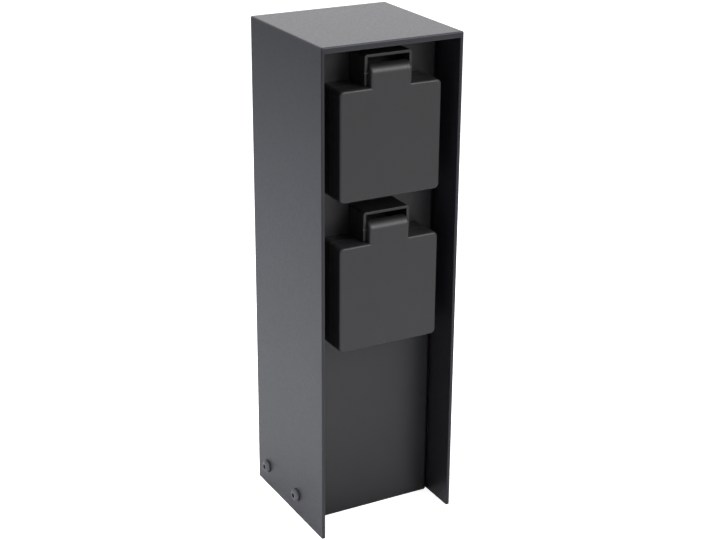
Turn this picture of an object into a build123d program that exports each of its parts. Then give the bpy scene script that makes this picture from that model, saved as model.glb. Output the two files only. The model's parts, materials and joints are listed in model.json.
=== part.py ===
from build123d import *
import os
from math import asin, cos, pi, radians, sin, sqrt, tan

# Post, a sheet steel hood over a folded chassis. Lengths are in millimetres.
post_height = 350
post_width = 104
post_depth = 104
hood_sheet = 2.5
hood_lip_height = 4.4
hood_corner_radius = 1.2
hood_rim_radius = 1
sheet_edge_radius = 0.4
panel_recess = 28

# Chassis: front panel, side flanges and rear lips, folded from one sheet
chassis_sheet = 2
chassis_bend_radius = 1
chassis_gap = 0.2
rear_lip_width = 14

# Rear cover and its fasteners
cover_sheet = 2
cover_gap = 0.4
cover_screw_inset = 8.5
cover_screw_end_margin = 24
cover_screw_rows = 3
cover_screw_radius = 1.45
cover_screw_length = 6
cover_screw_head_radius = 2.8
cover_screw_cone_angle = 90
clinch_nut_radius = 2.8
clinch_nut_height = 4

# Ground plate, folded up at both sides
ground_sheet = 3
ground_bend_radius = 1.5
ground_gap = 0.2
ear_height = 26
anchor_side_margin = 12.1
anchor_end_margin = 12
anchor_hole_radius = 4.25
cable_hole_radius = 12.5
grommet_bore_radius = 10.5
grommet_flange_radius = 15.5
grommet_flange_height = 2

# Side screws at the foot and their weld nuts
base_screw_height = 15
base_screw_end_margin = 10
base_screw_radius = 2.45
base_screw_length = 14
base_screw_head_radius = 4.75
base_screw_head_height = 2.75
base_screw_key_radius = 1.65
base_screw_key_depth = 1.6
base_nut_width = 8
base_nut_height = 4

# Clearances
screw_clearance = 0.3
thread_clearance = 0.05
shaft_clearance = 0.05
fit_gap = 0.3
cut_overrun = 1

# Flange sockets, measured out from the front panel
flange_width = 75
flange_corner_radius = 3.5
flange_gasket_thickness = 1
flange_gasket_inset = 0.5
flange_thickness = 9
flange_plate = 2.5
flange_wall = 2.2
flange_edge_radius = 0.8
top_unit_clearance = 7.1
unit_gap = 10.1

# Fastening of the flanges
flange_screw_margin = 7.5
flange_boss_radius = 5.4
flange_screw_radius = 1.95
flange_screw_head_radius = 3.9
flange_screw_head_height = 2.4
flange_screw_sink = 3
flange_screw_drive_radius = 1.1
flange_screw_drive_depth = 1.4
flange_screw_tip = 1.5
flange_nut_width = 7
flange_nut_height = 3.2

# Socket insert
recess_radius = 19.5
recess_depth = 17.5
insert_wall = 2.5
insert_lip_width = 2.3
insert_lip_thickness = 1.5
collar_wall = 1.4
collar_height = 6.5
guide_rib_width = 5
guide_rib_depth = 2.2
pin_pitch = 19
pin_hole_radius = 2.8
insert_block_width = 34
insert_block_height = 16
insert_block_depth = 16.5

# Spigot and rear housing behind the panel
spigot_wall = 2
spigot_reach = 8
cutout_clearance = 0.5
housing_rim_depth = 4
housing_wall = 2
housing_depth = 30
housing_boss_radius = 4
entry_boss_radius = 8.4
entry_bore_radius = 6.2
entry_place = 21

# Contacts, earth clip and terminal screws
contact_tube_radius = 3.2
contact_bore_radius = 2.4
contact_head_width = 7.5
contact_head_height = 8
contact_head_depth = 6
wire_hole_radius = 1.8
clip_thickness = 0.8
clip_width = 6
clip_reach = 12
clip_wall_gap = 1.2
clip_nut_plate = 2
earth_screw_offset = 12
terminal_screw_radius = 1.7
terminal_screw_length = 4
terminal_screw_head_radius = 2.9
terminal_screw_head_height = 2.2
terminal_screw_drive_depth = 1.2
centre_screw_radius = 1.5
centre_screw_head_radius = 3
centre_screw_head_height = 2
centre_screw_engagement = 9

# Lids
lid_proud = 25.5
lid_gap = 0.3
lid_wall = 2
lid_edge_radius = 1.5
tab_width = 30
tab_root_overlap = 1.5
hinge_rise = 8.5
hinge_barrel_radius = 6
hinge_pin_radius = 1.5
hinge_side_gap = 0.3
hinge_wall = 2.2
hinge_housing_proud = 21
hinge_back_thickness = 3
hinge_top_gap = 4.4
hinge_top_thickness = 2
lid_ring_width = 4
lid_gasket_width = 5
lid_gasket_overhang = 1
lid_gasket_thickness = 2.5

# Lid springs, coiled round the hinge pins
spring_wire_radius = 0.4
spring_mean_radius = 2.6
spring_pitch = 1.4
spring_turns = 5
spring_pocket_radius = 3.5
spring_slot_width = 2
spring_arm_angle = 205
spring_arm_seat_gap = 0.1
spring_slot_start = 98
spring_slot_end = 268

# Terminal box on the back of the front panel
box_bottom_share = 0.3
box_height_share = 0.4
box_width = 64
box_depth = 38
box_wall = 2
box_corner_radius = 3
box_seal_thickness = 1
box_cover_thickness = 3
box_post_radius = 3.4
box_screw_radius = 1.45
box_screw_length = 14
box_screw_head_radius = 2.7
box_screw_head_height = 1.8
stud_side_gap = 5
stud_radius = 1.95
stud_length = 11
box_nut_width = 7
box_nut_height = 3.2

# Terminal block, its clamps and the earth connection
block_pitch = 11
block_height = 18
block_depth = 14
clamp_axis_depth = 5
clamp_radius = 3
clamp_bore_radius = 1.9
clamp_length = 16
clamp_screw_radius = 1.4
clamp_screw_offset = 4.5
clamp_screw_sink = 1
lug_thickness = 1
lug_ring_radius = 3.6
lug_barrel_radius = 1.7
lug_barrel_length = 7
earth_wire_radius = 1.1
earth_wire_rise_share = 0.6
earth_wire_engagement = 4

# Cable gland in the floor of the box
gland_thread_radius = 9.9
gland_thread_length = 8.5
gland_flange_width = 24
gland_flange_height = 5
gland_barrel_radius = 9
gland_barrel_length = 8
gland_bore_radius = 6.5
gland_seal_radius = 7.3
gland_seal_bore_radius = 4.5
gland_seal_length = 6
gland_nut_radius = 11.6
gland_nut_wall = 2.2
gland_nut_reach = 7
gland_nut_mouth_radius = 5.5
gland_flutes = 16
gland_flute_radius = 1.4
gland_flute_depth = 0.7
gland_locknut_height = 3

# Leads from the box to the sockets, and their rubber bushings
lead_radius = 3.5
lead_box_reach = 10
lead_rise = 15
lead_side_share = 0.38
upper_lead_offset = 16
lead_housing_reach = 8.5
lead_return_rise = 8
lead_last_run = 34
bushing_collar_radius = 7.8
bushing_collar_height = 2.5
bushing_reach = 3

# Shares of their own piece that the small forms follow
tip_chamfer_share = 0.3
head_round_share = 0.85
nut_chamfer_share = 0.12
slot_width_share = 0.28
drive_arm_share = 0.36
rubber_round_share = 0.33
bushing_round_share = 0.5
cover_round_share = 0.25
route_run_share = 0.45

# Places that follow from the sizes above
front_y = -post_depth / 2
rear_y = post_depth / 2
half_width = post_width / 2
inner_x = half_width - hood_sheet
inner_top = post_height - hood_sheet
panel_y = front_y + panel_recess
web_back_y = panel_y + chassis_sheet
lip_back_y = rear_y - cover_sheet
lip_front_y = lip_back_y - chassis_sheet
chassis_x = inner_x - chassis_gap
chassis_inner_x = chassis_x - chassis_sheet
chassis_top = inner_top - chassis_gap
body_mid_y = (panel_y + rear_y) / 2

ear_outer_x = chassis_inner_x - ground_gap
ear_inner_x = ear_outer_x - ground_sheet
ground_front_y = web_back_y + chassis_bend_radius
ground_rear_y = lip_front_y - chassis_bend_radius
anchor_pitch_x = 2 * (ear_inner_x - anchor_side_margin)
anchor_pitch_y = ground_rear_y - ground_front_y - 2 * anchor_end_margin
base_screw_places = [
    (ground_front_y + base_screw_end_margin, base_screw_height),
    (ground_rear_y - base_screw_end_margin, base_screw_height),
]
cover_screw_x = chassis_x - cover_screw_inset
cover_screw_spacing = (post_height - 2 * cover_screw_end_margin) / (cover_screw_rows - 1)

flange_screw_pitch = flange_width - 2 * flange_screw_margin
frame_front = flange_gasket_thickness + flange_thickness
plate_back = frame_front - flange_plate
collar_front = frame_front + collar_height
recess_floor = collar_front - recess_depth
floor_back = recess_floor - insert_wall
insert_radius = recess_radius + insert_wall
insert_lip_radius = insert_radius + insert_lip_width
collar_radius = insert_lip_radius + fit_gap + collar_wall
spigot_bore = collar_radius
spigot_radius = spigot_bore + spigot_wall
cutout_radius = spigot_radius + cutout_clearance
housing_radius = spigot_radius - cutout_clearance
block_back = floor_back - insert_block_depth
clip_front = block_back - fit_gap
clip_back = clip_front - clip_thickness
clip_height = recess_radius - clip_wall_gap

hinge_height = flange_width / 2 + hinge_rise
hinge_proud = lid_proud - hinge_barrel_radius
housing_inner_width = tab_width + 2 * hinge_side_gap
housing_outer_width = housing_inner_width + 2 * hinge_wall
hinge_inner_top = hinge_height + hinge_barrel_radius + hinge_top_gap
hinge_outer_top = hinge_inner_top + hinge_top_thickness
lid_back = frame_front + lid_gap
spring_turning = 360 * spring_turns + 270 - spring_arm_angle
spring_start_x = -spring_turns * spring_pitch / 2
spring_end_x = spring_start_x + spring_turning * spring_pitch / 360
spring_arm_slope = spring_pitch / (2 * pi * spring_mean_radius)
spring_arm_x = spring_end_x + spring_arm_slope * hinge_barrel_radius / 2
lid_inner = lid_proud - lid_wall
gasket_back = collar_front + lid_gap
gasket_front = gasket_back + lid_gasket_thickness
lid_gasket_radius = collar_radius + lid_gasket_overhang
upper_socket_height = inner_top - top_unit_clearance - hinge_outer_top
lower_socket_height = upper_socket_height - flange_width / 2 - unit_gap - hinge_outer_top

room_under_socket = lower_socket_height - spigot_radius
box_bottom = room_under_socket * box_bottom_share
box_height = room_under_socket * box_height_share
box_front_y = web_back_y
box_rim_y = box_front_y + box_depth
box_top = box_bottom + box_height
box_mid_z = box_bottom + box_height / 2
box_inner_x = box_width / 2 - box_wall
stud_pitch = 2 * (box_inner_x - stud_side_gap)
box_floor_y = box_front_y + box_wall
box_post_x = box_inner_x - box_post_radius / 2
box_post_z = box_height / 2 - box_wall - box_post_radius / 2
clamp_y = box_floor_y + clamp_axis_depth
lead_y = panel_y + entry_place


def save(piece, label):
    """Label a finished piece and write its STEP file."""
    piece.part.label = label
    export_step(piece.part, f"parts/{label}.step")


def socket_plane(height, proud=0):
    """Plane at a socket's centre, +Y up the post and +Z out of the front panel."""
    return Plane(origin=(0, panel_y - proud, height), x_dir=(1, 0, 0), z_dir=(0, -1, 0))


def rear_plane(y, z=0, x=0):
    """Plane that faces the rear of the post, +Y up the post."""
    return Plane(origin=(x, y, z), x_dir=(-1, 0, 0), z_dir=(0, 1, 0))


def side_plane(x, y, z):
    """Plane that faces the right side of the post, +X to the rear and +Y up."""
    return Plane(origin=(x, y, z), x_dir=(0, 1, 0), z_dir=(1, 0, 0))


def make_screw(radius, length, head_radius, head_height, key_radius, key_depth, style):
    """A screw along Z, its head bearing at the origin and its tip below it."""
    with BuildPart() as screw:
        Cylinder(radius, length, align=(Align.CENTER, Align.CENTER, Align.MAX))
        chamfer(screw.edges().group_by(Axis.Z)[0], radius * tip_chamfer_share)
        if style == "countersunk":
            Cone(radius, head_radius, head_height, align=(Align.CENTER, Align.CENTER, Align.MIN))
        else:
            Cylinder(head_radius, head_height, align=(Align.CENTER, Align.CENTER, Align.MIN))
            fillet(screw.edges().group_by(Axis.Z)[-1], head_height * head_round_share)
        with BuildSketch(Plane.XY.offset(head_height)):
            if style == "hexagon":
                RegularPolygon(key_radius, 6, major_radius=False)
            elif style == "slot":
                Rectangle(2 * head_radius, 2 * head_radius * slot_width_share)
            else:
                Rectangle(2 * key_radius, 2 * key_radius * drive_arm_share)
                Rectangle(2 * key_radius * drive_arm_share, 2 * key_radius)
        extrude(amount=-key_depth, mode=Mode.SUBTRACT)
    return screw.part


def make_nut(width, height, bore_radius):
    """A hexagon nut that stands on the origin."""
    with BuildPart() as nut:
        with BuildSketch():
            RegularPolygon(width / 2, 6, major_radius=False)
        extrude(amount=height)
        chamfer(nut.edges().group_by(Axis.Z)[0], height * nut_chamfer_share)
        chamfer(nut.edges().group_by(Axis.Z)[-1], height * nut_chamfer_share)
        with Locations((0, 0, height / 2)):
            Cylinder(bore_radius, height + 2 * cut_overrun, mode=Mode.SUBTRACT)
    return nut.part


def bend_radii(points):
    """The largest even arcs of a tube's route: 0.45 of the shorter run over tan of half the turn."""
    radii = []
    for before, corner, after in zip(points, points[1:], points[2:]):
        run_in = Vector(*corner) - Vector(*before)
        run_out = Vector(*after) - Vector(*corner)
        half_turn = radians(run_in.get_angle(run_out)) / 2
        radii.append(route_run_share * min(run_in.length, run_out.length) / tan(half_turn))
    return radii


os.makedirs("parts", exist_ok=True)


# Hood: two side plates and a top plate whose front edge is folded down, welded and ground flush
with BuildPart() as hood:
    with BuildSketch(Plane.XZ.offset(-rear_y)):
        with Locations((0, post_height / 2)):
            Rectangle(post_width, post_height)
        with Locations((0, inner_top / 2)):
            Rectangle(2 * inner_x, inner_top, mode=Mode.SUBTRACT)
    extrude(amount=post_depth)
    with BuildSketch(Plane.XZ.offset(-front_y - hood_sheet)):
        with Locations((0, post_height - hood_lip_height / 2)):
            Rectangle(post_width, hood_lip_height)
    extrude(amount=hood_sheet)
    fillet(hood.edges().filter_by(Axis.Y).group_by(Axis.Z)[-1], hood_corner_radius)
    fillet(hood.faces().sort_by(Axis.Y)[0].edges(), hood_rim_radius)
    fillet(hood.faces().sort_by(Axis.Y)[-1].edges(), sheet_edge_radius)
    with BuildSketch(Plane.YZ):
        with Locations(*base_screw_places):
            Circle(base_screw_radius + screw_clearance)
    extrude(amount=half_width + cut_overrun, both=True, mode=Mode.SUBTRACT)
save(hood, "hood")


# Chassis: a lipped channel in plan, with the two socket cut-outs in its web
with BuildPart() as chassis:
    outer_corner = chassis_bend_radius + chassis_sheet
    with BuildSketch():
        with Locations((0, (panel_y + lip_back_y) / 2)):
            Rectangle(2 * chassis_x, lip_back_y - panel_y)
    extrude(amount=chassis_top)
    fillet(chassis.edges().filter_by(Axis.Z), outer_corner)
    with BuildSketch():
        with Locations((0, (web_back_y + lip_front_y) / 2)):
            RectangleRounded(2 * chassis_inner_x, lip_front_y - web_back_y, chassis_bend_radius)
        with Locations((0, lip_back_y)):
            Rectangle(2 * (chassis_x - rear_lip_width), 2 * chassis_sheet + 2 * cut_overrun)
    extrude(amount=chassis_top, mode=Mode.SUBTRACT)
    for socket_height in (lower_socket_height, upper_socket_height):
        with BuildSketch(socket_plane(socket_height, cut_overrun)):
            Circle(cutout_radius)
            with GridLocations(flange_screw_pitch, flange_screw_pitch, 2, 2):
                Circle(flange_screw_radius + screw_clearance)
        extrude(amount=-chassis_sheet - 2 * cut_overrun, mode=Mode.SUBTRACT)
    with BuildSketch(Plane.YZ):
        with Locations(*base_screw_places):
            Circle(base_screw_radius + screw_clearance)
    extrude(amount=half_width, both=True, mode=Mode.SUBTRACT)
    with BuildSketch(rear_plane(lip_back_y + cut_overrun, post_height / 2)):
        with GridLocations(2 * cover_screw_x, cover_screw_spacing, 2, cover_screw_rows):
            Circle(cover_screw_radius + thread_clearance)
    extrude(amount=-chassis_sheet - 2 * cut_overrun, mode=Mode.SUBTRACT)
save(chassis, "chassis")


# Rear cover, flush with the rear edges of the hood
cover_head_height = cover_screw_head_radius - cover_screw_radius
with BuildPart() as rear_cover:
    cover_height = inner_top - 2 * cover_gap
    with BuildSketch(rear_plane(lip_back_y, inner_top / 2)):
        Rectangle(2 * (inner_x - cover_gap), cover_height)
    extrude(amount=cover_sheet)
    fillet(rear_cover.faces().sort_by(Axis.Y)[-1].edges(), sheet_edge_radius)
    with Locations(rear_plane(rear_y, post_height / 2)):
        with GridLocations(2 * cover_screw_x, cover_screw_spacing, 2, cover_screw_rows):
            CounterSinkHole(
                cover_screw_radius + thread_clearance,
                cover_screw_head_radius + thread_clearance,
                counter_sink_angle=cover_screw_cone_angle,
            )
save(rear_cover, "rear_cover")

cover_screw = make_screw(
    cover_screw_radius, cover_screw_length, cover_screw_head_radius, cover_head_height,
    cover_screw_radius, cover_head_height / 2, "countersunk",
)
with BuildPart() as rear_cover_screws:
    with Locations(rear_plane(rear_y - cover_head_height, post_height / 2)):
        with GridLocations(2 * cover_screw_x, cover_screw_spacing, 2, cover_screw_rows):
            add(cover_screw)
save(rear_cover_screws, "rear_cover_screws")

with BuildPart() as cover_clinch_nuts:
    with Locations(rear_plane(lip_front_y, post_height / 2)):
        with GridLocations(2 * cover_screw_x, cover_screw_spacing, 2, cover_screw_rows):
            Cylinder(clinch_nut_radius, clinch_nut_height, align=(Align.CENTER, Align.CENTER, Align.MAX))
            nut_bore_radius = cover_screw_radius + thread_clearance
            Cylinder(nut_bore_radius, 2 * clinch_nut_height + cut_overrun, mode=Mode.SUBTRACT)
save(cover_clinch_nuts, "cover_clinch_nuts")


# Ground plate with an ear at each side, anchor holes and a cable hole below the gland
with BuildPart() as ground_plate:
    with BuildSketch(Plane.XZ.offset(-ground_rear_y)) as fold:
        with Locations((0, ear_height / 2)):
            Rectangle(2 * ear_outer_x, ear_height)
        fillet(fold.vertices().group_by(Axis.Y)[0], ground_bend_radius + ground_sheet)
        with Locations((0, ground_sheet + ear_height)):
            RectangleRounded(2 * ear_inner_x, 2 * ear_height, ground_bend_radius, mode=Mode.SUBTRACT)
    extrude(amount=ground_rear_y - ground_front_y)
    with BuildSketch(Plane.XY):
        with Locations((0, lead_y)):
            Circle(cable_hole_radius)
        with Locations((0, body_mid_y)):
            with GridLocations(anchor_pitch_x, anchor_pitch_y, 2, 2):
                Circle(anchor_hole_radius)
    extrude(amount=ground_sheet + cut_overrun, mode=Mode.SUBTRACT)
    with BuildSketch(Plane.YZ):
        with Locations(*base_screw_places):
            Circle(base_screw_radius + screw_clearance)
    extrude(amount=half_width, both=True, mode=Mode.SUBTRACT)
save(ground_plate, "ground_plate")

base_screw = make_screw(
    base_screw_radius, base_screw_length, base_screw_head_radius, base_screw_head_height,
    base_screw_key_radius, base_screw_key_depth, "hexagon",
)
with BuildPart() as base_screws:
    for y, z in base_screw_places:
        with Locations(side_plane(half_width, y, z)):
            add(base_screw)
    mirror(about=Plane.YZ)
save(base_screws, "base_screws")

base_nut = make_nut(base_nut_width, base_nut_height, base_screw_radius + thread_clearance)
with BuildPart() as base_weld_nuts:
    for y, z in base_screw_places:
        with Locations(side_plane(ear_inner_x - base_nut_height, y, z)):
            add(base_nut)
    mirror(about=Plane.YZ)
save(base_weld_nuts, "base_weld_nuts")

with BuildPart() as cable_grommet:
    with BuildSketch(Plane(origin=(0, lead_y, ground_sheet))):
        Circle(grommet_flange_radius)
    extrude(amount=grommet_flange_height)
    with BuildSketch(Plane(origin=(0, lead_y, ground_sheet))):
        Circle(cable_hole_radius - fit_gap / 2)
    extrude(amount=-ground_sheet + fit_gap)
    with BuildSketch(Plane(origin=(0, lead_y, 0))):
        Circle(grommet_bore_radius)
    extrude(amount=ground_sheet + grommet_flange_height, mode=Mode.SUBTRACT)
    fillet(cable_grommet.edges().group_by(Axis.Z)[-1], grommet_flange_height * rubber_round_share)
save(cable_grommet, "cable_grommet")


def make_frame(name, height):
    """Flange frame: hollow behind, with a collar, a spigot through the panel and a hinge housing."""
    with BuildPart() as frame:
        with BuildSketch(socket_plane(height, flange_gasket_thickness)):
            RectangleRounded(flange_width, flange_width, flange_corner_radius)
        extrude(amount=flange_thickness)
        fillet(frame.faces().sort_by(Axis.Y)[0].edges(), flange_edge_radius)
        housing_low = flange_width / 2 - flange_wall
        with BuildSketch(socket_plane(height, flange_gasket_thickness)):
            with Locations((0, (housing_low + hinge_outer_top) / 2)):
                Rectangle(housing_outer_width, hinge_outer_top - housing_low)
        extrude(amount=frame_front - flange_gasket_thickness)
        with BuildSketch(socket_plane(height, frame_front)):
            low = flange_width / 2 + fit_gap
            with Locations((0, (low + hinge_outer_top) / 2)):
                Rectangle(housing_outer_width, hinge_outer_top - low)
        extrude(amount=hinge_housing_proud - frame_front)
        fillet(
            frame.edges().filter_by(Axis.Y).group_by(Axis.Z)[-1], hinge_wall - sheet_edge_radius
        )
        with BuildSketch(socket_plane(height, flange_gasket_thickness + hinge_back_thickness)):
            low = flange_width / 2
            with Locations((0, (low + hinge_inner_top) / 2)):
                Rectangle(housing_inner_width, hinge_inner_top - low)
        extrude(amount=hinge_housing_proud, mode=Mode.SUBTRACT)
        fillet(frame.faces().sort_by(Axis.Y)[0].edges(), sheet_edge_radius)
        with BuildSketch(socket_plane(height, flange_gasket_thickness)):
            inner = flange_width - 2 * flange_wall
            RectangleRounded(inner, inner, flange_corner_radius - flange_edge_radius)
            Circle(spigot_radius, mode=Mode.SUBTRACT)
            with GridLocations(flange_screw_pitch, flange_screw_pitch, 2, 2):
                Circle(flange_boss_radius, mode=Mode.SUBTRACT)
        extrude(amount=flange_thickness - flange_plate, mode=Mode.SUBTRACT)
        with BuildSketch(socket_plane(height, -spigot_reach)):
            Circle(spigot_radius)
        extrude(amount=spigot_reach + plate_back)
        with BuildSketch(socket_plane(height, frame_front)):
            Circle(collar_radius)
        extrude(amount=collar_height)
        fillet(frame.faces().filter_by(Plane.XZ).group_by(Axis.Y)[1].edges(), sheet_edge_radius)
        with BuildSketch(socket_plane(height, -spigot_reach)):
            Circle(spigot_bore)
        extrude(amount=spigot_reach + plate_back, mode=Mode.SUBTRACT)
        with BuildSketch(socket_plane(height, 0)):
            Circle(insert_radius + fit_gap)
        extrude(amount=collar_front + cut_overrun, mode=Mode.SUBTRACT)
        with BuildSketch(socket_plane(height, collar_front - insert_lip_thickness)):
            Circle(insert_lip_radius + fit_gap)
        extrude(amount=insert_lip_thickness + cut_overrun, mode=Mode.SUBTRACT)
        with Locations(socket_plane(height, frame_front)):
            with GridLocations(flange_screw_pitch, flange_screw_pitch, 2, 2):
                CounterBoreHole(
                    flange_screw_radius + screw_clearance,
                    flange_screw_head_radius + screw_clearance,
                    flange_screw_sink,
                    depth=flange_thickness + cut_overrun,
                )
        with BuildSketch(side_plane(0, panel_y - hinge_proud, height + hinge_height)):
            Circle(hinge_pin_radius + shaft_clearance)
        extrude(amount=housing_outer_width, both=True, mode=Mode.SUBTRACT)
    save(frame, name + "_socket_frame")


def make_flange_gasket(name, height):
    """Flat rubber gasket between the flange and the panel."""
    with BuildPart() as flange_gasket:
        with BuildSketch(socket_plane(height)):
            side = flange_width - 2 * flange_gasket_inset
            RectangleRounded(side, side, flange_corner_radius)
            Circle(spigot_radius + cutout_clearance, mode=Mode.SUBTRACT)
            with GridLocations(flange_screw_pitch, flange_screw_pitch, 2, 2):
                Circle(flange_screw_radius + screw_clearance, mode=Mode.SUBTRACT)
        extrude(amount=flange_gasket_thickness)
    save(flange_gasket, name + "_flange_gasket")


def make_flange_fasteners(name, height):
    """Four screws sunk in the flange and their nuts behind the panel."""
    head_seat = frame_front - flange_screw_sink
    length = head_seat + chassis_sheet + flange_nut_height + flange_screw_tip
    flange_screw = make_screw(
        flange_screw_radius, length, flange_screw_head_radius, flange_screw_head_height,
        flange_screw_drive_radius, flange_screw_drive_depth, "cross",
    )
    with BuildPart() as flange_screws:
        with Locations(socket_plane(height, head_seat)):
            with GridLocations(flange_screw_pitch, flange_screw_pitch, 2, 2):
                add(flange_screw)
    save(flange_screws, name + "_flange_screws")
    flange_nut = make_nut(flange_nut_width, flange_nut_height, flange_screw_radius + thread_clearance)
    with BuildPart() as flange_nuts:
        with Locations(socket_plane(height, -chassis_sheet - flange_nut_height)):
            with GridLocations(flange_screw_pitch, flange_screw_pitch, 2, 2):
                add(flange_nut)
    save(flange_nuts, name + "_flange_nuts")


def make_insert(name, height):
    """Round socket cup with pin holes, guide ribs and a block behind that holds the contacts."""
    with BuildPart() as insert:
        with BuildSketch(socket_plane(height, floor_back)):
            Circle(insert_radius)
        extrude(amount=collar_front - floor_back)
        with BuildSketch(socket_plane(height, collar_front - insert_lip_thickness)):
            Circle(insert_lip_radius)
        extrude(amount=insert_lip_thickness)
        with BuildSketch(socket_plane(height, recess_floor)):
            Circle(recess_radius)
            for side in (-1, 1):
                with Locations((side * recess_radius, 0)):
                    Rectangle(2 * guide_rib_depth, guide_rib_width, mode=Mode.SUBTRACT)
        extrude(amount=recess_depth + cut_overrun, mode=Mode.SUBTRACT)
        with BuildSketch(socket_plane(height, floor_back)):
            Rectangle(insert_block_width, insert_block_height)
        extrude(amount=-insert_block_depth)
        with BuildSketch(socket_plane(height, recess_floor)):
            with GridLocations(pin_pitch, 0, 2, 1):
                Circle(pin_hole_radius)
            Circle(centre_screw_radius + screw_clearance)
            for side in (-1, 1):
                with Locations((0, side * (clip_height - clip_thickness / 2))):
                    Rectangle(clip_width + 2 * fit_gap, clip_thickness + 2 * fit_gap)
        extrude(amount=-insert_wall, mode=Mode.SUBTRACT)
        with BuildSketch(socket_plane(height, recess_floor)):
            Circle(centre_screw_head_radius + screw_clearance)
        extrude(amount=-centre_screw_head_height - fit_gap, mode=Mode.SUBTRACT)
        with BuildSketch(socket_plane(height, block_back)):
            with GridLocations(pin_pitch, 0, 2, 1):
                Circle(contact_tube_radius + fit_gap)
            Circle(centre_screw_radius + screw_clearance)
        extrude(amount=insert_block_depth, mode=Mode.SUBTRACT)
    save(insert, name + "_socket_insert")


def make_contacts(name, height):
    """Two brass sleeves for the pins, each with a clamp head for its wire."""
    with BuildPart() as contacts:
        head_front = block_back - fit_gap
        with BuildSketch(socket_plane(height, floor_back - fit_gap)):
            with GridLocations(pin_pitch, 0, 2, 1):
                Circle(contact_tube_radius)
        extrude(amount=head_front - floor_back + fit_gap)
        with BuildSketch(socket_plane(height, head_front)):
            with GridLocations(pin_pitch, 0, 2, 1):
                Rectangle(contact_head_width, contact_head_height)
        extrude(amount=-contact_head_depth)
        with BuildSketch(socket_plane(height, floor_back)):
            with GridLocations(pin_pitch, 0, 2, 1):
                Circle(contact_bore_radius)
        extrude(amount=head_front - floor_back, mode=Mode.SUBTRACT)
        with BuildSketch(socket_plane(height, head_front - contact_head_depth - cut_overrun)):
            with GridLocations(pin_pitch, 0, 2, 1):
                Circle(wire_hole_radius)
        extrude(amount=contact_head_depth + cut_overrun, mode=Mode.SUBTRACT)
        with BuildSketch(Plane(origin=(0, panel_y - head_front + contact_head_depth / 2, height))):
            with GridLocations(pin_pitch, 0, 2, 1):
                Circle(terminal_screw_radius + thread_clearance)
        extrude(amount=-contact_head_height, mode=Mode.SUBTRACT)
    save(contacts, name + "_contacts")


def make_earth_clip(name, height):
    """Spring steel strip: two arms in the recess, joined behind the insert."""
    with BuildPart() as earth_clip:
        with BuildSketch(side_plane(0, panel_y, height)):
            with BuildLine():
                Polyline(
                    (-clip_reach, clip_height - clip_thickness / 2),
                    (-clip_back - clip_thickness / 2, clip_height - clip_thickness / 2),
                    (-clip_back - clip_thickness / 2, -clip_height + clip_thickness / 2),
                    (-clip_reach, -clip_height + clip_thickness / 2),
                )
            trace(line_width=clip_thickness)
        extrude(amount=clip_width / 2, both=True)
        with BuildSketch(socket_plane(height, clip_front)):
            with Locations((0, -earth_screw_offset)):
                Rectangle(clip_width, clip_width)
        extrude(amount=clip_nut_plate)
        with BuildSketch(socket_plane(height, clip_back - cut_overrun)):
            Circle(centre_screw_radius + screw_clearance)
            with Locations((0, -earth_screw_offset)):
                Circle(terminal_screw_radius + thread_clearance)
        extrude(amount=clip_nut_plate + clip_thickness + 2 * cut_overrun, mode=Mode.SUBTRACT)
    save(earth_clip, name + "_earth_clip")


def make_terminal_screws(name, height):
    """Screws that clamp the two wires from below, and the earth wire from behind."""
    terminal_screw = make_screw(
        terminal_screw_radius, terminal_screw_length, terminal_screw_head_radius,
        terminal_screw_head_height, terminal_screw_head_radius, terminal_screw_drive_depth, "slot",
    )
    screw_y = panel_y - block_back + fit_gap + contact_head_depth / 2
    below = Plane(origin=(0, screw_y, height - contact_head_height / 2), x_dir=(1, 0, 0), z_dir=(0, 0, -1))
    with BuildPart() as terminal_screws:
        with Locations(below):
            with GridLocations(pin_pitch, 0, 2, 1):
                add(terminal_screw)
        with Locations(rear_plane(panel_y - clip_back, height - earth_screw_offset)):
            add(terminal_screw)
    save(terminal_screws, name + "_terminal_screws")


def make_rear_housing(name, height):
    """Cup behind the panel that shuts in the contacts, with a boss for the centre screw."""
    back = -spigot_reach - housing_depth
    with BuildPart() as rear_housing:
        with BuildSketch(socket_plane(height, -spigot_reach)):
            Circle(housing_radius)
        extrude(amount=-housing_depth)
        fillet(rear_housing.edges().group_by(Axis.Y)[-1], housing_wall)
        with BuildSketch(Plane(origin=(0, panel_y + entry_place, height - spigot_radius))):
            Circle(entry_boss_radius)
        extrude(amount=spigot_radius / 2)
        with BuildSketch(socket_plane(height, -spigot_reach)):
            Circle(spigot_bore - fit_gap)
        extrude(amount=housing_rim_depth)
        with BuildSketch(socket_plane(height, -spigot_reach + housing_rim_depth)):
            Circle(spigot_bore - fit_gap - housing_wall)
        extrude(amount=-housing_rim_depth, mode=Mode.SUBTRACT)
        with BuildSketch(socket_plane(height, -spigot_reach)):
            Circle(housing_radius - housing_wall)
        extrude(amount=-housing_depth + housing_wall, mode=Mode.SUBTRACT)
        with BuildSketch(socket_plane(height, back)):
            Circle(housing_boss_radius)
        extrude(amount=clip_back - fit_gap - back)
        with BuildSketch(socket_plane(height, clip_back)):
            Circle(centre_screw_radius + thread_clearance)
        extrude(amount=-centre_screw_engagement - cut_overrun, mode=Mode.SUBTRACT)
        with BuildSketch(Plane(origin=(0, panel_y + entry_place, height - housing_radius / 2))):
            Circle(entry_bore_radius)
        extrude(amount=-housing_radius, mode=Mode.SUBTRACT)
    save(rear_housing, name + "_rear_housing")


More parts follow.
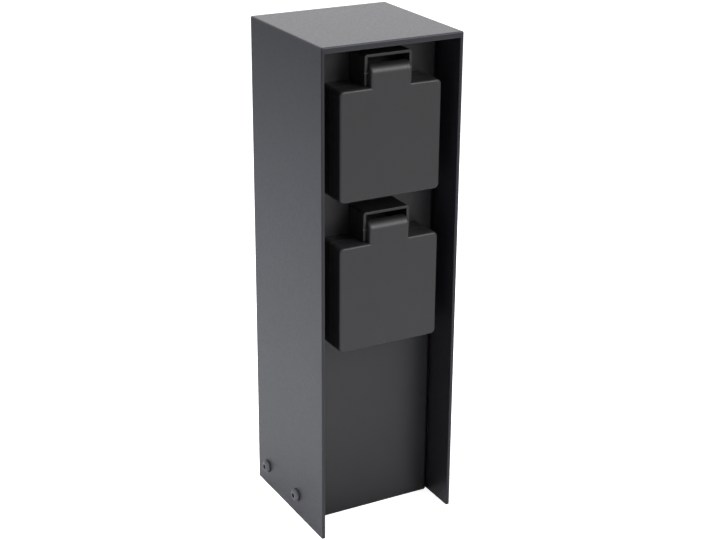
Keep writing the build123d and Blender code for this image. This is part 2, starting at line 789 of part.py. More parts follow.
def make_centre_screw(name, height):
    """Long screw from the recess floor to the rear housing, which holds the unit together."""
    seat = recess_floor - centre_screw_head_height - fit_gap
    screw = make_screw(
        centre_screw_radius, seat - clip_back + centre_screw_engagement, centre_screw_head_radius,
        centre_screw_head_height, centre_screw_head_radius, terminal_screw_drive_depth, "slot",
    )
    with BuildPart() as centre_screw:
        with Locations(socket_plane(height, seat)):
            add(screw)
    save(centre_screw, name + "_centre_screw")


def make_lid(name, height):
    """Square sprung lid: a hollow cover with a tab that ends in the hinge barrel."""
    hinge_plane = side_plane(0, panel_y - hinge_proud, height + hinge_height)
    tab_half = tab_width / 2
    with BuildPart() as lid:
        with BuildSketch(socket_plane(height, lid_back)):
            RectangleRounded(flange_width, flange_width, flange_corner_radius)
        extrude(amount=lid_proud - lid_back)
        with BuildSketch(hinge_plane):
            Circle(hinge_barrel_radius)
            with Locations((-hinge_barrel_radius / 2, -(hinge_rise + tab_root_overlap) / 2)):
                Rectangle(hinge_barrel_radius, hinge_rise + tab_root_overlap)
        extrude(amount=tab_half, both=True)
        front_edges = lid.faces().sort_by(Axis.Y)[0].edges()
        barrel_line = front_edges.filter_by(Axis.X).sort_by(Axis.Z)[-1]
        fillet(front_edges - ShapeList([barrel_line]), lid_edge_radius)
        with BuildSketch(socket_plane(height, lid_back)):
            inner = flange_width - 2 * lid_wall
            RectangleRounded(inner, inner, flange_corner_radius - lid_wall)
        extrude(amount=lid_inner - lid_back, mode=Mode.SUBTRACT)
        with BuildSketch(socket_plane(height, gasket_front)):
            Circle(collar_radius + flange_edge_radius)
            Circle(collar_radius + flange_edge_radius - lid_ring_width, mode=Mode.SUBTRACT)
        extrude(amount=lid_inner - gasket_front)
        with BuildSketch(hinge_plane):
            Circle(hinge_pin_radius + shaft_clearance)
        extrude(amount=tab_width, both=True, mode=Mode.SUBTRACT)
        with BuildSketch(hinge_plane):
            Circle(spring_pocket_radius)
        extrude(amount=spring_arm_x + spring_slot_width / 2, both=True, mode=Mode.SUBTRACT)
        reach = hinge_barrel_radius + cut_overrun
        with BuildSketch(hinge_plane.offset(spring_arm_x)):
            with BuildLine():
                start = (-reach * cos(radians(spring_slot_start)), reach * sin(radians(spring_slot_start)))
                end = (-reach * cos(radians(spring_slot_end)), reach * sin(radians(spring_slot_end)))
                Line((0, 0), start)
                ThreePointArc(start, (reach, 0), end)
                Line(end, (0, 0))
            make_face()
        extrude(amount=spring_slot_width / 2, both=True, mode=Mode.SUBTRACT)
    save(lid, name + "_lid")


def make_lid_gasket(name, height):
    """Rubber ring in the lid that closes on the collar."""
    with BuildPart() as lid_gasket:
        with BuildSketch(socket_plane(height, gasket_back)):
            Circle(lid_gasket_radius)
            Circle(lid_gasket_radius - lid_gasket_width, mode=Mode.SUBTRACT)
        extrude(amount=lid_gasket_thickness)
        fillet(lid_gasket.edges().group_by(Axis.Y)[-1], lid_gasket_thickness * cover_round_share)
    save(lid_gasket, name + "_lid_gasket")


def make_hinge_pin(name, height):
    """Steel pin across the hinge housing and the lid's barrel."""
    with BuildPart() as hinge_pin:
        hinge_y, hinge_z = panel_y - hinge_proud, height + hinge_height
        with BuildSketch(side_plane(-housing_outer_width / 2, hinge_y, hinge_z)):
            Circle(hinge_pin_radius)
        extrude(amount=housing_outer_width)
        chamfer(hinge_pin.edges().filter_by(GeomType.CIRCLE), hinge_pin_radius * tip_chamfer_share / 2)
    save(hinge_pin, name + "_hinge_pin")


def make_lid_spring(name, height):
    """Torsion spring round the hinge pin, each half turn of its coil a pair of tangent arcs."""
    radius = spring_mean_radius
    rise = spring_pitch / 360
    start_angle, end_angle = 0, -spring_turning

    def place(angle):
        """Point of the coil at an angle, turned from straight out of the post towards up."""
        turn = radians(angle)
        along = spring_start_x + (start_angle - angle) * rise
        return Vector(
            along, panel_y - hinge_proud - radius * cos(turn), height + hinge_height + radius * sin(turn)
        )

    def heading(angle):
        """Unit direction of the wire there, for an angle that falls along the wire."""
        turn = radians(angle)
        per_degree = radians(radius)
        return Vector(rise, -per_degree * sin(turn), -per_degree * cos(turn)).normalized()

    halves = 2 * spring_turns + 1
    angles = [start_angle + (end_angle - start_angle) * step / halves for step in range(halves + 1)]
    with BuildPart() as spring:
        with BuildLine():
            for first, last in zip(angles, angles[1:]):
                p0, p1, t0, t1 = place(first), place(last), heading(first), heading(last)
                chord, turn = p1 - p0, 1 - t0.dot(t1)
                along = chord.dot(t0 + t1)
                reach = (sqrt(along**2 + 2 * turn * chord.dot(chord)) - along) / (2 * turn)
                q0, q1 = p0 + t0 * reach, p1 - t1 * reach
                middle = (q0 + q1) / 2
                TangentArc(p0, middle, tangent=t0)
                TangentArc(middle, p1, tangent=(q1 - q0).normalized())
            tip = heading(end_angle)
            seat_height = height + flange_width / 2 + spring_wire_radius + spring_arm_seat_gap
            arm_length = (place(end_angle).Z - seat_height) / -tip.Z
            Line(place(end_angle), place(end_angle) + tip * arm_length)
        with BuildSketch(Plane(origin=place(start_angle), z_dir=heading(start_angle))):
            Circle(spring_wire_radius)
        sweep()
    helix_angle = asin(spring_pitch / sqrt(spring_pitch**2 + (2 * pi * radius) ** 2))
    gap = spring_pitch * cos(helix_angle) - 2 * spring_wire_radius
    print(f"{name} spring: gap between turns {gap:.2f} mm, volume {spring.part.volume:.1f} mm3")
    save(spring, name + "_lid_spring")


def make_entry_bushing(name, height):
    """Rubber bushing that seals the lead where it enters the rear housing."""
    low = height - spigot_radius
    with BuildPart() as entry_bushing:
        with BuildSketch(Plane(origin=(0, lead_y, low))):
            Circle(bushing_collar_radius)
        extrude(amount=-bushing_collar_height)
        fillet(entry_bushing.edges().group_by(Axis.Z)[0], bushing_collar_height * bushing_round_share)
        with BuildSketch(Plane(origin=(0, lead_y, low))):
            Circle(entry_bore_radius - fit_gap / 2)
        extrude(amount=housing_wall + bushing_reach)
        with BuildSketch(Plane(origin=(0, lead_y, low - bushing_collar_height))):
            Circle(lead_radius + thread_clearance)
        extrude(amount=bushing_collar_height + housing_wall + bushing_reach, mode=Mode.SUBTRACT)
    save(entry_bushing, name + "_entry_bushing")


for socket_name, socket_height in (("upper", upper_socket_height), ("lower", lower_socket_height)):
    make_frame(socket_name, socket_height)
    make_flange_gasket(socket_name, socket_height)
    make_flange_fasteners(socket_name, socket_height)
    make_insert(socket_name, socket_height)
    make_contacts(socket_name, socket_height)
    make_earth_clip(socket_name, socket_height)
    make_terminal_screws(socket_name, socket_height)
    make_rear_housing(socket_name, socket_height)
    make_centre_screw(socket_name, socket_height)
    make_lid(socket_name, socket_height)
    make_lid_gasket(socket_name, socket_height)
    make_hinge_pin(socket_name, socket_height)
    make_lid_spring(socket_name, socket_height)
    make_entry_bushing(socket_name, socket_height)


# Terminal box: a moulded cup that opens to the rear, fixed to two studs on the panel
lead_places = [(0, lead_y), (upper_lead_offset, lead_y)]
with BuildPart() as terminal_box:
    with BuildSketch(rear_plane(box_front_y, box_mid_z)):
        RectangleRounded(box_width, box_height, box_corner_radius)
    extrude(amount=box_depth)
    with BuildSketch(rear_plane(box_floor_y, box_mid_z)):
        RectangleRounded(box_width - 2 * box_wall, box_height - 2 * box_wall, box_corner_radius - box_wall)
        with GridLocations(2 * box_post_x, 2 * box_post_z, 2, 2):
            Circle(box_post_radius, mode=Mode.SUBTRACT)
    extrude(amount=box_depth, mode=Mode.SUBTRACT)
    with BuildSketch(rear_plane(box_rim_y, box_mid_z)):
        with GridLocations(2 * box_post_x, 2 * box_post_z, 2, 2):
            Circle(box_screw_radius + thread_clearance)
    extrude(amount=-box_screw_length, mode=Mode.SUBTRACT)
    with BuildSketch(rear_plane(box_front_y, box_mid_z)):
        with GridLocations(stud_pitch, 0, 2, 1):
            Circle(stud_radius + screw_clearance)
    extrude(amount=box_wall, mode=Mode.SUBTRACT)
    with BuildSketch(Plane(origin=(0, lead_y, box_bottom))):
        Circle(gland_thread_radius + screw_clearance)
    extrude(amount=box_wall, mode=Mode.SUBTRACT)
    with BuildSketch(Plane.XY.offset(box_top)):
        with Locations(*lead_places):
            Circle(entry_bore_radius)
    extrude(amount=-box_wall, mode=Mode.SUBTRACT)
save(terminal_box, "terminal_box")

with BuildPart() as terminal_box_seal:
    with BuildSketch(rear_plane(box_rim_y, box_mid_z)):
        RectangleRounded(box_width, box_height, box_corner_radius)
        inner_width = box_width - 2 * box_wall
        inner_height = box_height - 2 * box_wall
        RectangleRounded(inner_width, inner_height, box_corner_radius - box_wall, mode=Mode.SUBTRACT)
        with GridLocations(2 * box_post_x, 2 * box_post_z, 2, 2):
            Circle(box_post_radius)
            Circle(box_screw_radius + screw_clearance, mode=Mode.SUBTRACT)
    extrude(amount=box_seal_thickness)
save(terminal_box_seal, "terminal_box_seal")

with BuildPart() as terminal_box_cover:
    cover_front_y = box_rim_y + box_seal_thickness
    with BuildSketch(rear_plane(cover_front_y, box_mid_z)):
        RectangleRounded(box_width, box_height, box_corner_radius)
    extrude(amount=box_cover_thickness)
    fillet(terminal_box_cover.faces().sort_by(Axis.Y)[-1].edges(), box_cover_thickness * cover_round_share)
    with Locations(rear_plane(cover_front_y + box_cover_thickness, box_mid_z)):
        with GridLocations(2 * box_post_x, 2 * box_post_z, 2, 2):
            CounterBoreHole(
                box_screw_radius + screw_clearance,
                box_screw_head_radius + screw_clearance,
                box_screw_head_height,
            )
save(terminal_box_cover, "terminal_box_cover")

box_screw = make_screw(
    box_screw_radius, box_screw_length, box_screw_head_radius, box_screw_head_height,
    box_screw_radius, box_screw_head_height / 2, "cross",
)
with BuildPart() as terminal_box_screws:
    seat_y = cover_front_y + box_cover_thickness - box_screw_head_height
    with Locations(rear_plane(seat_y, box_mid_z)):
        with GridLocations(2 * box_post_x, 2 * box_post_z, 2, 2):
            add(box_screw)
save(terminal_box_screws, "terminal_box_screws")

with BuildPart() as mounting_studs:
    with BuildSketch(rear_plane(box_front_y, box_mid_z)):
        with GridLocations(stud_pitch, 0, 2, 1):
            Circle(stud_radius)
    extrude(amount=stud_length)
    chamfer(mounting_studs.edges().group_by(Axis.Y)[-1], stud_radius * tip_chamfer_share)
save(mounting_studs, "mounting_studs")

box_nut = make_nut(box_nut_width, box_nut_height, stud_radius + thread_clearance)
lug_y = box_floor_y + box_nut_height
lug_barrel_low = box_mid_z + box_nut_width * sqrt(1 / 3)
with BuildPart() as stud_nuts:
    with Locations(rear_plane(box_floor_y, box_mid_z)):
        with GridLocations(stud_pitch, 0, 2, 1):
            add(box_nut)
    with Locations(rear_plane(lug_y + lug_thickness, box_mid_z, -stud_pitch / 2)):
        add(box_nut)
save(stud_nuts, "stud_nuts")

# Earth lug on the left stud and its wire to the terminal block
with BuildPart() as earth_lug:
    with BuildSketch(rear_plane(lug_y, box_mid_z, -stud_pitch / 2)):
        Circle(lug_ring_radius)
        with Locations((0, lug_ring_radius)):
            Rectangle(2 * lug_barrel_radius, 2 * lug_ring_radius)
        Circle(stud_radius + screw_clearance, mode=Mode.SUBTRACT)
    extrude(amount=lug_thickness)
    with BuildSketch(Plane(origin=(-stud_pitch / 2, clamp_y, lug_barrel_low + fit_gap))):
        Circle(lug_barrel_radius)
    extrude(amount=lug_barrel_length)
    with BuildSketch(Plane(origin=(-stud_pitch / 2, clamp_y, box_mid_z))):
        Circle(earth_wire_radius + thread_clearance)
    extrude(amount=box_height, mode=Mode.SUBTRACT)
save(earth_lug, "earth_lug")

block_top = box_mid_z + block_height / 2
lug_barrel_top = lug_barrel_low + fit_gap + lug_barrel_length
wire_top = lug_barrel_top + earth_wire_rise_share * (box_top - box_wall - lug_barrel_top)
earth_route = [
    (-stud_pitch / 2, clamp_y, lug_barrel_top - earth_wire_engagement),
    (-stud_pitch / 2, clamp_y, wire_top),
    (-block_pitch, clamp_y, wire_top),
    (-block_pitch, clamp_y, block_top - earth_wire_engagement),
]
with BuildPart() as earth_wire:
    with BuildLine():
        FilletPolyline(*earth_route, radius=bend_radii(earth_route))
    with BuildSketch(Plane(origin=earth_route[0])):
        Circle(earth_wire_radius)
    sweep()
save(earth_wire, "earth_wire")

# Terminal block: three brass clamps in one moulding
clamp_xs = [(column - 1) * block_pitch for column in range(3)]
with BuildPart() as terminal_block:
    with BuildSketch(rear_plane(box_floor_y, box_mid_z)):
        Rectangle(3 * block_pitch, block_height)
    extrude(amount=block_depth)
    with BuildSketch(Plane.XY.offset(box_mid_z)):
        with Locations(*[(x, clamp_y) for x in clamp_xs]):
            Circle(clamp_radius + fit_gap / 2)
    extrude(amount=block_height, both=True, mode=Mode.SUBTRACT)
    with BuildSketch(rear_plane(box_floor_y + block_depth, box_mid_z)):
        with GridLocations(block_pitch, 2 * clamp_screw_offset, 3, 2):
            Circle(clamp_screw_radius + screw_clearance)
    extrude(amount=-block_depth + clamp_axis_depth, mode=Mode.SUBTRACT)
save(terminal_block, "terminal_block")

with BuildPart() as terminal_clamps:
    with BuildSketch(Plane.XY.offset(box_mid_z)):
        with Locations(*[(x, clamp_y) for x in clamp_xs]):
            Circle(clamp_radius)
            Circle(clamp_bore_radius, mode=Mode.SUBTRACT)
    extrude(amount=clamp_length / 2, both=True)
    with BuildSketch(rear_plane(clamp_y, box_mid_z)):
        with GridLocations(block_pitch, 2 * clamp_screw_offset, 3, 2):
            Circle(clamp_screw_radius + thread_clearance)
    extrude(amount=clamp_radius + cut_overrun, mode=Mode.SUBTRACT)
save(terminal_clamps, "terminal_clamps")

with BuildPart() as clamp_screws:
    with BuildSketch(rear_plane(clamp_y + earth_wire_radius + thread_clearance, box_mid_z)):
        with GridLocations(block_pitch, 2 * clamp_screw_offset, 3, 2):
            Circle(clamp_screw_radius)
    screw_end_y = box_floor_y + block_depth - clamp_screw_sink
    extrude(amount=screw_end_y - clamp_y - earth_wire_radius - thread_clearance)
    with BuildSketch(rear_plane(screw_end_y, box_mid_z)):
        with GridLocations(block_pitch, 2 * clamp_screw_offset, 3, 2):
            Rectangle(2 * clamp_screw_radius + cut_overrun, 2 * clamp_screw_radius * slot_width_share)
    extrude(amount=-clamp_screw_sink, mode=Mode.SUBTRACT)
save(clamp_screws, "clamp_screws")

# Cable gland, upright in the floor of the box
flange_low = box_bottom - gland_flange_height
barrel_low = flange_low - gland_barrel_length
seal_low = barrel_low - fit_gap
with BuildPart() as gland_body:
    with BuildSketch(Plane(origin=(0, lead_y, flange_low))):
        RegularPolygon(gland_flange_width / 2, 6, major_radius=False)
    extrude(amount=gland_flange_height)
    with BuildSketch(Plane(origin=(0, lead_y, box_bottom))):
        Circle(gland_thread_radius)
    extrude(amount=gland_thread_length)
    with BuildSketch(Plane(origin=(0, lead_y, flange_low))):
        Circle(gland_barrel_radius)
    extrude(amount=-gland_barrel_length)
    with BuildSketch(Plane(origin=(0, lead_y, barrel_low))):
        Circle(gland_bore_radius)
    extrude(amount=box_height, mode=Mode.SUBTRACT)
    with BuildSketch(Plane(origin=(0, lead_y, barrel_low))):
        Circle(gland_seal_radius + fit_gap / 2)
    extrude(amount=gland_seal_length, mode=Mode.SUBTRACT)
save(gland_body, "gland_body")

with BuildPart() as gland_seal:
    with BuildSketch(Plane(origin=(0, lead_y, seal_low))):
        Circle(gland_seal_radius)
        Circle(gland_seal_bore_radius, mode=Mode.SUBTRACT)
    extrude(amount=gland_seal_length)
save(gland_seal, "gland_seal")

with BuildPart() as gland_nut:
    nut_low = seal_low - gland_nut_wall
    with BuildSketch(Plane(origin=(0, lead_y, nut_low))):
        Circle(gland_nut_radius)
    extrude(amount=gland_nut_wall + gland_nut_reach)
    fillet(gland_nut.edges().group_by(Axis.Z)[0], gland_nut_wall)
    with BuildSketch(Plane(origin=(0, lead_y, seal_low))):
        Circle(gland_barrel_radius + thread_clearance)
    extrude(amount=gland_nut_reach, mode=Mode.SUBTRACT)
    with BuildSketch(Plane(origin=(0, lead_y, nut_low))):
        Circle(gland_nut_mouth_radius)
    extrude(amount=gland_nut_wall, mode=Mode.SUBTRACT)
    with BuildSketch(Plane(origin=(0, lead_y, nut_low))):
        with PolarLocations(gland_nut_radius + gland_flute_radius - gland_flute_depth, gland_flutes):
            Circle(gland_flute_radius)
    extrude(amount=gland_nut_wall + gland_nut_reach, mode=Mode.SUBTRACT)
save(gland_nut, "gland_nut")

with BuildPart() as gland_locknut:
    with BuildSketch(Plane(origin=(0, lead_y, box_bottom + box_wall))):
        RegularPolygon(gland_flange_width / 2, 6, major_radius=False)
        Circle(gland_thread_radius + thread_clearance, mode=Mode.SUBTRACT)
    extrude(amount=gland_locknut_height)
save(gland_locknut, "gland_locknut")

with BuildPart() as lead_bushings:
    with BuildSketch(Plane.XY.offset(box_top)):
        with Locations(*lead_places):
            Circle(bushing_collar_radius)
    extrude(amount=bushing_collar_height)
    fillet(lead_bushings.edges().group_by(Axis.Z)[-1], bushing_collar_height * bushing_round_share)
    with BuildSketch(Plane.XY.offset(box_top)):
        with Locations(*lead_places):
            Circle(entry_bore_radius - fit_gap / 2)
    extrude(amount=-box_wall - bushing_reach)
    with BuildSketch(Plane.XY.offset(box_top + bushing_collar_height)):
        with Locations(*lead_places):
            Circle(lead_radius + thread_clearance)
    extrude(amount=-bushing_collar_height - box_wall - bushing_reach, mode=Mode.SUBTRACT)
save(lead_bushings, "lead_bushings")

# Leads: the lower one runs straight up, the upper one passes beside the lower socket
lead_bottom = box_top - lead_box_reach
with BuildPart() as lower_lead:
    with BuildSketch(Plane(origin=(0, lead_y, lead_bottom))):
        Circle(lead_radius)
    extrude(amount=lower_socket_height - spigot_radius + lead_housing_reach - lead_bottom)
save(lower_lead, "lower_lead")

side_x = housing_radius + lead_side_share * (chassis_inner_x - housing_radius)
lead_end = upper_socket_height - spigot_radius + lead_housing_reach
upper_route = [
    (upper_lead_offset, lead_y, lead_bottom),
    (upper_lead_offset, lead_y, box_top + lead_rise),
    (side_x, lead_y, lower_socket_height - housing_radius),
    (side_x, lead_y, lower_socket_height + lead_return_rise),
    (0, lead_y, lead_end - lead_last_run),
    (0, lead_y, lead_end),
]
with BuildPart() as upper_lead:
    with BuildLine():
        FilletPolyline(*upper_route, radius=bend_radii(upper_route))
    with BuildSketch(Plane(origin=upper_route[0])):
        Circle(lead_radius)
    sweep()
save(upper_lead, "upper_lead")
print("upper lead radii:", [round(radius, 1) for radius in bend_radii(upper_route)])
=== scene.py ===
"""Dresses the garden socket post: finishes for its pieces, a white studio and the photograph's camera."""
import json
import math

import bpy
from mathutils import Matrix, Vector


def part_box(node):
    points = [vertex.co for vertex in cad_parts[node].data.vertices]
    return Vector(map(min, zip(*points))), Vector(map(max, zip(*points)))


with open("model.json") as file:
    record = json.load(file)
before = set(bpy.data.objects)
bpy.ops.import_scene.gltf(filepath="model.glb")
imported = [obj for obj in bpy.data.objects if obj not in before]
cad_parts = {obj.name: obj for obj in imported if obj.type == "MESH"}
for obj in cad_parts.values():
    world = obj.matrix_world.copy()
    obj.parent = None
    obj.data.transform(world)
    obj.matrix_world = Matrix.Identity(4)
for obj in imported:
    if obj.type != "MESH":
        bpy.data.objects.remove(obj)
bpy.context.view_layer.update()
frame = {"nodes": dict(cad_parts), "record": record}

MM = 0.001

# Sockets of the Mix node when it mixes colours: its two colours and its result
MIX_FIRST, MIX_SECOND, MIX_RESULT = 6, 7, 2

METAL = {"Metallic": 1.0}


def linear(hex_colour):
    """sRGB hex colour as linear RGBA. A channel up to the knee is divided by the slope. A higher one gets the
    offset added, is divided by one plus the offset and is raised to the power."""
    knee, slope, offset, power = 0.04045, 12.92, 0.055, 2.4
    channels = [int(hex_colour[i : i + 2], 16) / 255 for i in (1, 3, 5)]
    return [c / slope if c <= knee else ((c + offset) / (1 + offset)) ** power for c in channels] + [1.0]


def add_node(tree, kind, attributes=None, inputs=None, links=None):
    """Add a shader node with its attributes, its input values and its links from (node, output)."""
    node = tree.nodes.new(kind)
    for name, value in (attributes or {}).items():
        setattr(node, name, value)
    for name, value in (inputs or {}).items():
        node.inputs[name].default_value = value
    for name, (source, output) in (links or {}).items():
        tree.links.new(source.outputs[output], node.inputs[name])
    return node


def new_material(name):
    """An empty node material and its tree."""
    material = bpy.data.materials.new(name)
    material.use_nodes = True
    material.node_tree.nodes.clear()
    return material, material.node_tree


def solid_finish(name, dark, light, blotch_mm, grain_mm, relief_mm, smooth, rough, shader=None):
    """Base colour that drifts from dark to light over blotch_mm, roughness that drifts from smooth to rough
    with the grain, and a relief of relief_mm made of grain_mm grain. Shader holds further values of the
    Principled shader. A pattern's scale in 1/m is 1000 over its size in mm."""
    usual_low, usual_high = 0.3, 0.7  # nearly all noise values lie between these two
    material, tree = new_material(name)
    place = add_node(tree, "ShaderNodeTexCoord")
    blotch = add_node(
        tree, "ShaderNodeTexNoise", inputs={"Scale": 1000 / blotch_mm, "Detail": 4.0, "Roughness": 0.55},
        links={"Vector": (place, "Object")},
    )
    grain = add_node(
        tree, "ShaderNodeTexNoise", inputs={"Scale": 1000 / grain_mm, "Detail": 3.0, "Roughness": 0.6},
        links={"Vector": (place, "Object")},
    )
    shade = add_node(
        tree, "ShaderNodeMix", {"data_type": "RGBA"}, {MIX_FIRST: linear(dark), MIX_SECOND: linear(light)},
        {"Factor": (blotch, "Fac")},
    )
    sheen = add_node(
        tree, "ShaderNodeMapRange",
        inputs={"From Min": usual_low, "From Max": usual_high, "To Min": smooth, "To Max": rough},
        links={"Value": (grain, "Fac")},
    )
    relief = add_node(
        tree, "ShaderNodeBump", inputs={"Strength": 1.0, "Distance": relief_mm * MM},
        links={"Height": (grain, "Fac")},
    )
    surface = add_node(
        tree, "ShaderNodeBsdfPrincipled", inputs=shader,
        links={
            "Base Color": (shade, MIX_RESULT), "Roughness": (sheen, "Result"), "Normal": (relief, "Normal"),
        },
    )
    add_node(tree, "ShaderNodeOutputMaterial", links={"Surface": (surface, "BSDF")})
    return material


# Steel sheet with a polyester powder coat, sprayed and baked: satin, almost black, with a faint orange
# peel. Real peel is about 0.5 mm across. It is drawn 1.6 mm across, because finer doesn't show.
hood_coat = solid_finish(
    "powder_coat_hood", dark="#18181d", light="#1e1e23", blotch_mm=30, grain_mm=1.6, relief_mm=0.012,
    smooth=0.36, rough=0.44, shader={"Specular Tint": linear("#f3f5fb")},
)
chassis_coat = solid_finish(
    "powder_coat_chassis", dark="#17171a", light="#1c1c20", blotch_mm=30, grain_mm=1.6, relief_mm=0.012,
    smooth=0.38, rough=0.46,
)

# Steel screws, blackened and oiled: about as dark as the paint round them, with a dull metal gleam.
black_steel = solid_finish(
    "blackened_steel_screw", dark="#5a5b5f", light="#6c6d71", blotch_mm=3, grain_mm=0.8, relief_mm=0.008,
    smooth=0.40, rough=0.54, shader=METAL,
)

# Zinc-plated steel, passivated: pale grey metal whose crystals blotch it, 2 mm across as drawn.
zinc = solid_finish(
    "zinc_plated_steel", dark="#a9adb3", light="#c3c6ca", blotch_mm=6, grain_mm=2, relief_mm=0.006,
    smooth=0.26, rough=0.42, shader=METAL,
)

# ABS, moulded in a spark-eroded tool: matt black with an even grain. Real grain is about 0.1 mm across. It
# is drawn about 1 mm across, because finer doesn't show.
socket_abs = solid_finish(
    "moulded_abs_socket", dark="#111112", light="#161617", blotch_mm=18, grain_mm=1.2, relief_mm=0.014,
    smooth=0.42, rough=0.52,
)
insert_abs = solid_finish(
    "moulded_abs_insert", dark="#131314", light="#181819", blotch_mm=12, grain_mm=1.0, relief_mm=0.008,
    smooth=0.36, rough=0.46,
)
lid_abs = solid_finish(
    "moulded_abs_lid", dark="#1e1e20", light="#242426", blotch_mm=24, grain_mm=1.2, relief_mm=0.016,
    smooth=0.40, rough=0.50,
)

# Polycarbonate, moulded in a polished tool: light grey boxes and glands with a soft gloss.
grey_plastic = solid_finish(
    "moulded_polycarbonate", dark="#8f9290", light="#9b9d9b", blotch_mm=22, grain_mm=1.5, relief_mm=0.006,
    smooth=0.34, rough=0.42,
)

# Nylon without dye, moulded: the milky white of terminal blocks.
nylon = solid_finish(
    "moulded_nylon", dark="#d6d4c8", light="#e2e0d6", blotch_mm=8, grain_mm=1.0, relief_mm=0.006,
    smooth=0.4, rough=0.5, shader={"Subsurface Weight": 0.1},
)

# EPDM rubber, pressed and vulcanised: charcoal, dusted a little lighter where talc stays on it.
rubber = solid_finish(
    "vulcanised_rubber", dark="#161616", light="#242423", blotch_mm=9, grain_mm=0.9, relief_mm=0.02,
    smooth=0.62, rough=0.78,
)

# Rubber lead sheath, extruded: matt black, its skin a little uneven.
lead_sheath = solid_finish(
    "extruded_rubber_sheath", dark="#141414", light="#1d1d1c", blotch_mm=14, grain_mm=0.8, relief_mm=0.015,
    smooth=0.5, rough=0.64,
)

# Brass, drawn and turned: warm yellow, its tarnish in patches of 4 mm.
brass = solid_finish(
    "turned_brass", dark="#b08d3f", light="#cfae62", blotch_mm=4, grain_mm=1.0, relief_mm=0.004,
    smooth=0.22, rough=0.38, shader=METAL,
)

# Copper with a coat of tin, pressed: a dull white metal.
tinned_copper = solid_finish(
    "tinned_copper", dark="#b3afa8", light="#c9c6bf", blotch_mm=3, grain_mm=1.0, relief_mm=0.006,
    smooth=0.3, rough=0.45, shader=METAL,
)

# Spring steel, drawn and blued a little by its tempering.
spring_steel = solid_finish(
    "tempered_spring_steel", dark="#7c7f86", light="#9a9da2", blotch_mm=3, grain_mm=0.6, relief_mm=0.003,
    smooth=0.24, rough=0.36, shader=METAL,
)

# Steel pin, ground and burnished black: a dark metal with a soft gleam.
pin_steel = solid_finish(
    "burnished_steel_pin", dark="#4e4f52", light="#626366", blotch_mm=5, grain_mm=0.5, relief_mm=0.003,
    smooth=0.3, rough=0.42, shader=METAL,
)

# PVC wire insulation for earth, extruded: green, with one yellow stripe along it. The wire lies in one
# upright plane, so the stripe is where Y is more than 0.3 mm above the wire's middle.
earth_pvc, tree = new_material("extruded_pvc_earth")
wire_low, wire_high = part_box("earth_wire")
stripe_edge = (wire_low.y + wire_high.y) / 2 + 0.3 * MM
place = add_node(tree, "ShaderNodeTexCoord")
sides = add_node(tree, "ShaderNodeSeparateXYZ", links={"Vector": (place, "Object")})
stripe = add_node(
    tree, "ShaderNodeMath", {"operation": "GREATER_THAN"}, {1: stripe_edge}, {0: (sides, "Y")}
)
shade = add_node(
    tree, "ShaderNodeMix", {"data_type": "RGBA"},
    {MIX_FIRST: linear("#2f7d32"), MIX_SECOND: linear("#e3c52a")}, {"Factor": (stripe, "Value")},
)
surface = add_node(
    tree, "ShaderNodeBsdfPrincipled", inputs={"Roughness": 0.4}, links={"Base Color": (shade, MIX_RESULT)}
)
add_node(tree, "ShaderNodeOutputMaterial", links={"Surface": (surface, "BSDF")})

finishes = {
    "hood_paint": hood_coat,
    "chassis_paint": chassis_coat,
    "blackened_screw": black_steel,
    "zinc_steel": zinc,
    "socket_plastic": socket_abs,
    "insert_plastic": insert_abs,
    "lid_plastic": lid_abs,
    "grey_plastic": grey_plastic,
    "block_plastic": nylon,
    "rubber": rubber,
    "lead_sheath": lead_sheath,
    "brass": brass,
    "tinned_copper": tinned_copper,
    "spring_steel": spring_steel,
    "pin_steel": pin_steel,
    "earth_insulation": earth_pvc,
}
for entry in frame["record"]["subparts"]:
    mesh = frame["nodes"][entry["node"]].data
    mesh.materials.clear()
    mesh.materials.append(finishes[entry["material_slot"]])


# Floor: white seamless paper that shows white to the camera. camera_glow and mirror_glow are how strongly
# it shines by itself when the camera sees it and when the object mirrors it.
floor_size = 12.0
camera_glow = 0.8
mirror_glow = 0.02
reach = floor_size / 2
corners = [(-reach, -reach, 0), (reach, -reach, 0), (reach, reach, 0), (-reach, reach, 0)]
floor_mesh = bpy.data.meshes.new("floor")
floor_mesh.from_pydata(corners, [], [(0, 1, 2, 3)])
floor = bpy.data.objects.new("floor", floor_mesh)
bpy.context.scene.collection.objects.link(floor)
paper, tree = new_material("white_seamless_paper")
ray = add_node(tree, "ShaderNodeLightPath")
mirrored_part = add_node(
    tree, "ShaderNodeMath", {"operation": "MULTIPLY"}, {1: mirror_glow}, {0: (ray, "Is Glossy Ray")}
)
glow = add_node(
    tree, "ShaderNodeMath", {"operation": "MULTIPLY_ADD"}, {1: camera_glow},
    {0: (ray, "Is Camera Ray"), 2: (mirrored_part, "Value")},
)
surface = add_node(
    tree, "ShaderNodeBsdfPrincipled",
    inputs={
        "Base Color": linear("#f4f4f4"), "Roughness": 0.9, "Specular IOR Level": 0.1,
        "Emission Color": linear("#ffffff"),
    },
    links={"Emission Strength": (glow, "Value")},
)
add_node(tree, "ShaderNodeOutputMaterial", links={"Surface": (surface, "BSDF")})
floor_mesh.materials.append(paper)

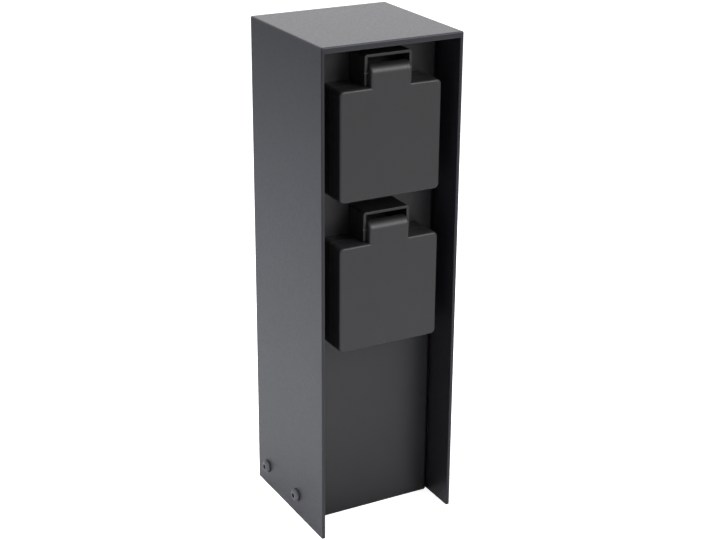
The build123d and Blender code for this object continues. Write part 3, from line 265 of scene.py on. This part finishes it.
# Room: white to the camera and in reflections, dimmer as light on the object
room_seen = 1.0
room_light = 0.2
world = bpy.data.worlds.new("white_room")
bpy.context.scene.world = world
world.use_nodes = True
tree = world.node_tree
tree.nodes.clear()
ray = add_node(tree, "ShaderNodeLightPath")
seen = add_node(
    tree, "ShaderNodeMath", {"operation": "MAXIMUM"},
    links={0: (ray, "Is Camera Ray"), 1: (ray, "Is Glossy Ray")},
)
level = add_node(
    tree, "ShaderNodeMapRange", inputs={"To Min": room_light, "To Max": room_seen},
    links={"Value": (seen, "Value")},
)
sky = add_node(
    tree, "ShaderNodeBackground", inputs={"Color": linear("#ffffff")}, links={"Strength": (level, "Result")}
)
add_node(tree, "ShaderNodeOutputWorld", links={"Surface": (sky, "Background")})


def soft_box(name, place, aim, width, height, power, colour="#ffffff", mirrored=True):
    """A studio soft box: an area lamp of width by height metres at place, turned to aim, of power watts and
    the given colour. The camera never sees it. The object mirrors it unless mirrored is false."""
    lamp = bpy.data.lights.new(name, "AREA")
    lamp.shape = "RECTANGLE"
    lamp.size = width
    lamp.size_y = height
    lamp.energy = power
    lamp.color = linear(colour)[:3]
    box = bpy.data.objects.new(name, lamp)
    box.location = place
    box.rotation_euler = (Vector(aim) - Vector(place)).to_track_quat("-Z", "Y").to_euler()
    box.visible_camera = False
    box.visible_glossy = mirrored
    bpy.context.scene.collection.objects.link(box)


# Key light from the front right, back light from behind, and a lamp over the top plate
middle = (0, 0, 0.18)
soft_box("key_light", place=(0.85, -1.4, 1.15), aim=middle, width=0.8, height=0.8, power=17.5)
soft_box("back_light", place=(0.9, 1.65, 1.1), aim=middle, width=1.6, height=1.0, power=4)
soft_box(
    "top_light", place=(-0.1, 0, 1.2), aim=(-0.1, 0, 0), width=0.6, height=0.6, power=14, mirrored=False
)

# Two lamps for the floor that the left side plate mirrors: a cool one farther out, a weak one at its foot
soft_box(
    "floor_light", place=(-0.45, 0.6, 0.9), aim=(-0.3, 0.45, 0), width=0.5, height=0.5, power=4,
    colour="#dfe9ff", mirrored=False,
)
soft_box(
    "foot_light", place=(-0.3, 0.08, 0.22), aim=(-0.13, 0.06, 0), width=0.15, height=0.15, power=0.2,
    mirrored=False,
)

# Camera, fitted to the corners of the post in the photograph, whose pixels the focal length is in. Its axes
# are right, up and back.
azimuth = math.radians(-28.586)
elevation = math.radians(21.585)
roll = math.radians(0.375)
distance = 1.0875
aim = Vector((0.00317, 0, 0.1745))
focal_length_px = 1549.4
picture_width_px = 716
sensor_width_mm = 36.0
back = Vector(
    (
        math.sin(azimuth) * math.cos(elevation),
        -math.cos(azimuth) * math.cos(elevation),
        math.sin(elevation),
    )
)
level_right = (-back).cross(Vector((0, 0, 1))).normalized()
level_up = back.cross(level_right)
right = level_right * math.cos(roll) + level_up * math.sin(roll)
up = level_up * math.cos(roll) - level_right * math.sin(roll)
camera_data = bpy.data.cameras.new("camera")
camera_data.sensor_width = sensor_width_mm
camera_data.lens = sensor_width_mm * focal_length_px / picture_width_px
camera = bpy.data.objects.new("camera", camera_data)
turned = Matrix((right, up, back)).transposed().to_4x4()
camera.matrix_world = Matrix.Translation(aim + back * distance) @ turned
bpy.context.scene.collection.objects.link(camera)
bpy.context.scene.camera = camera
bpy.context.scene.view_settings.view_transform = "Standard"
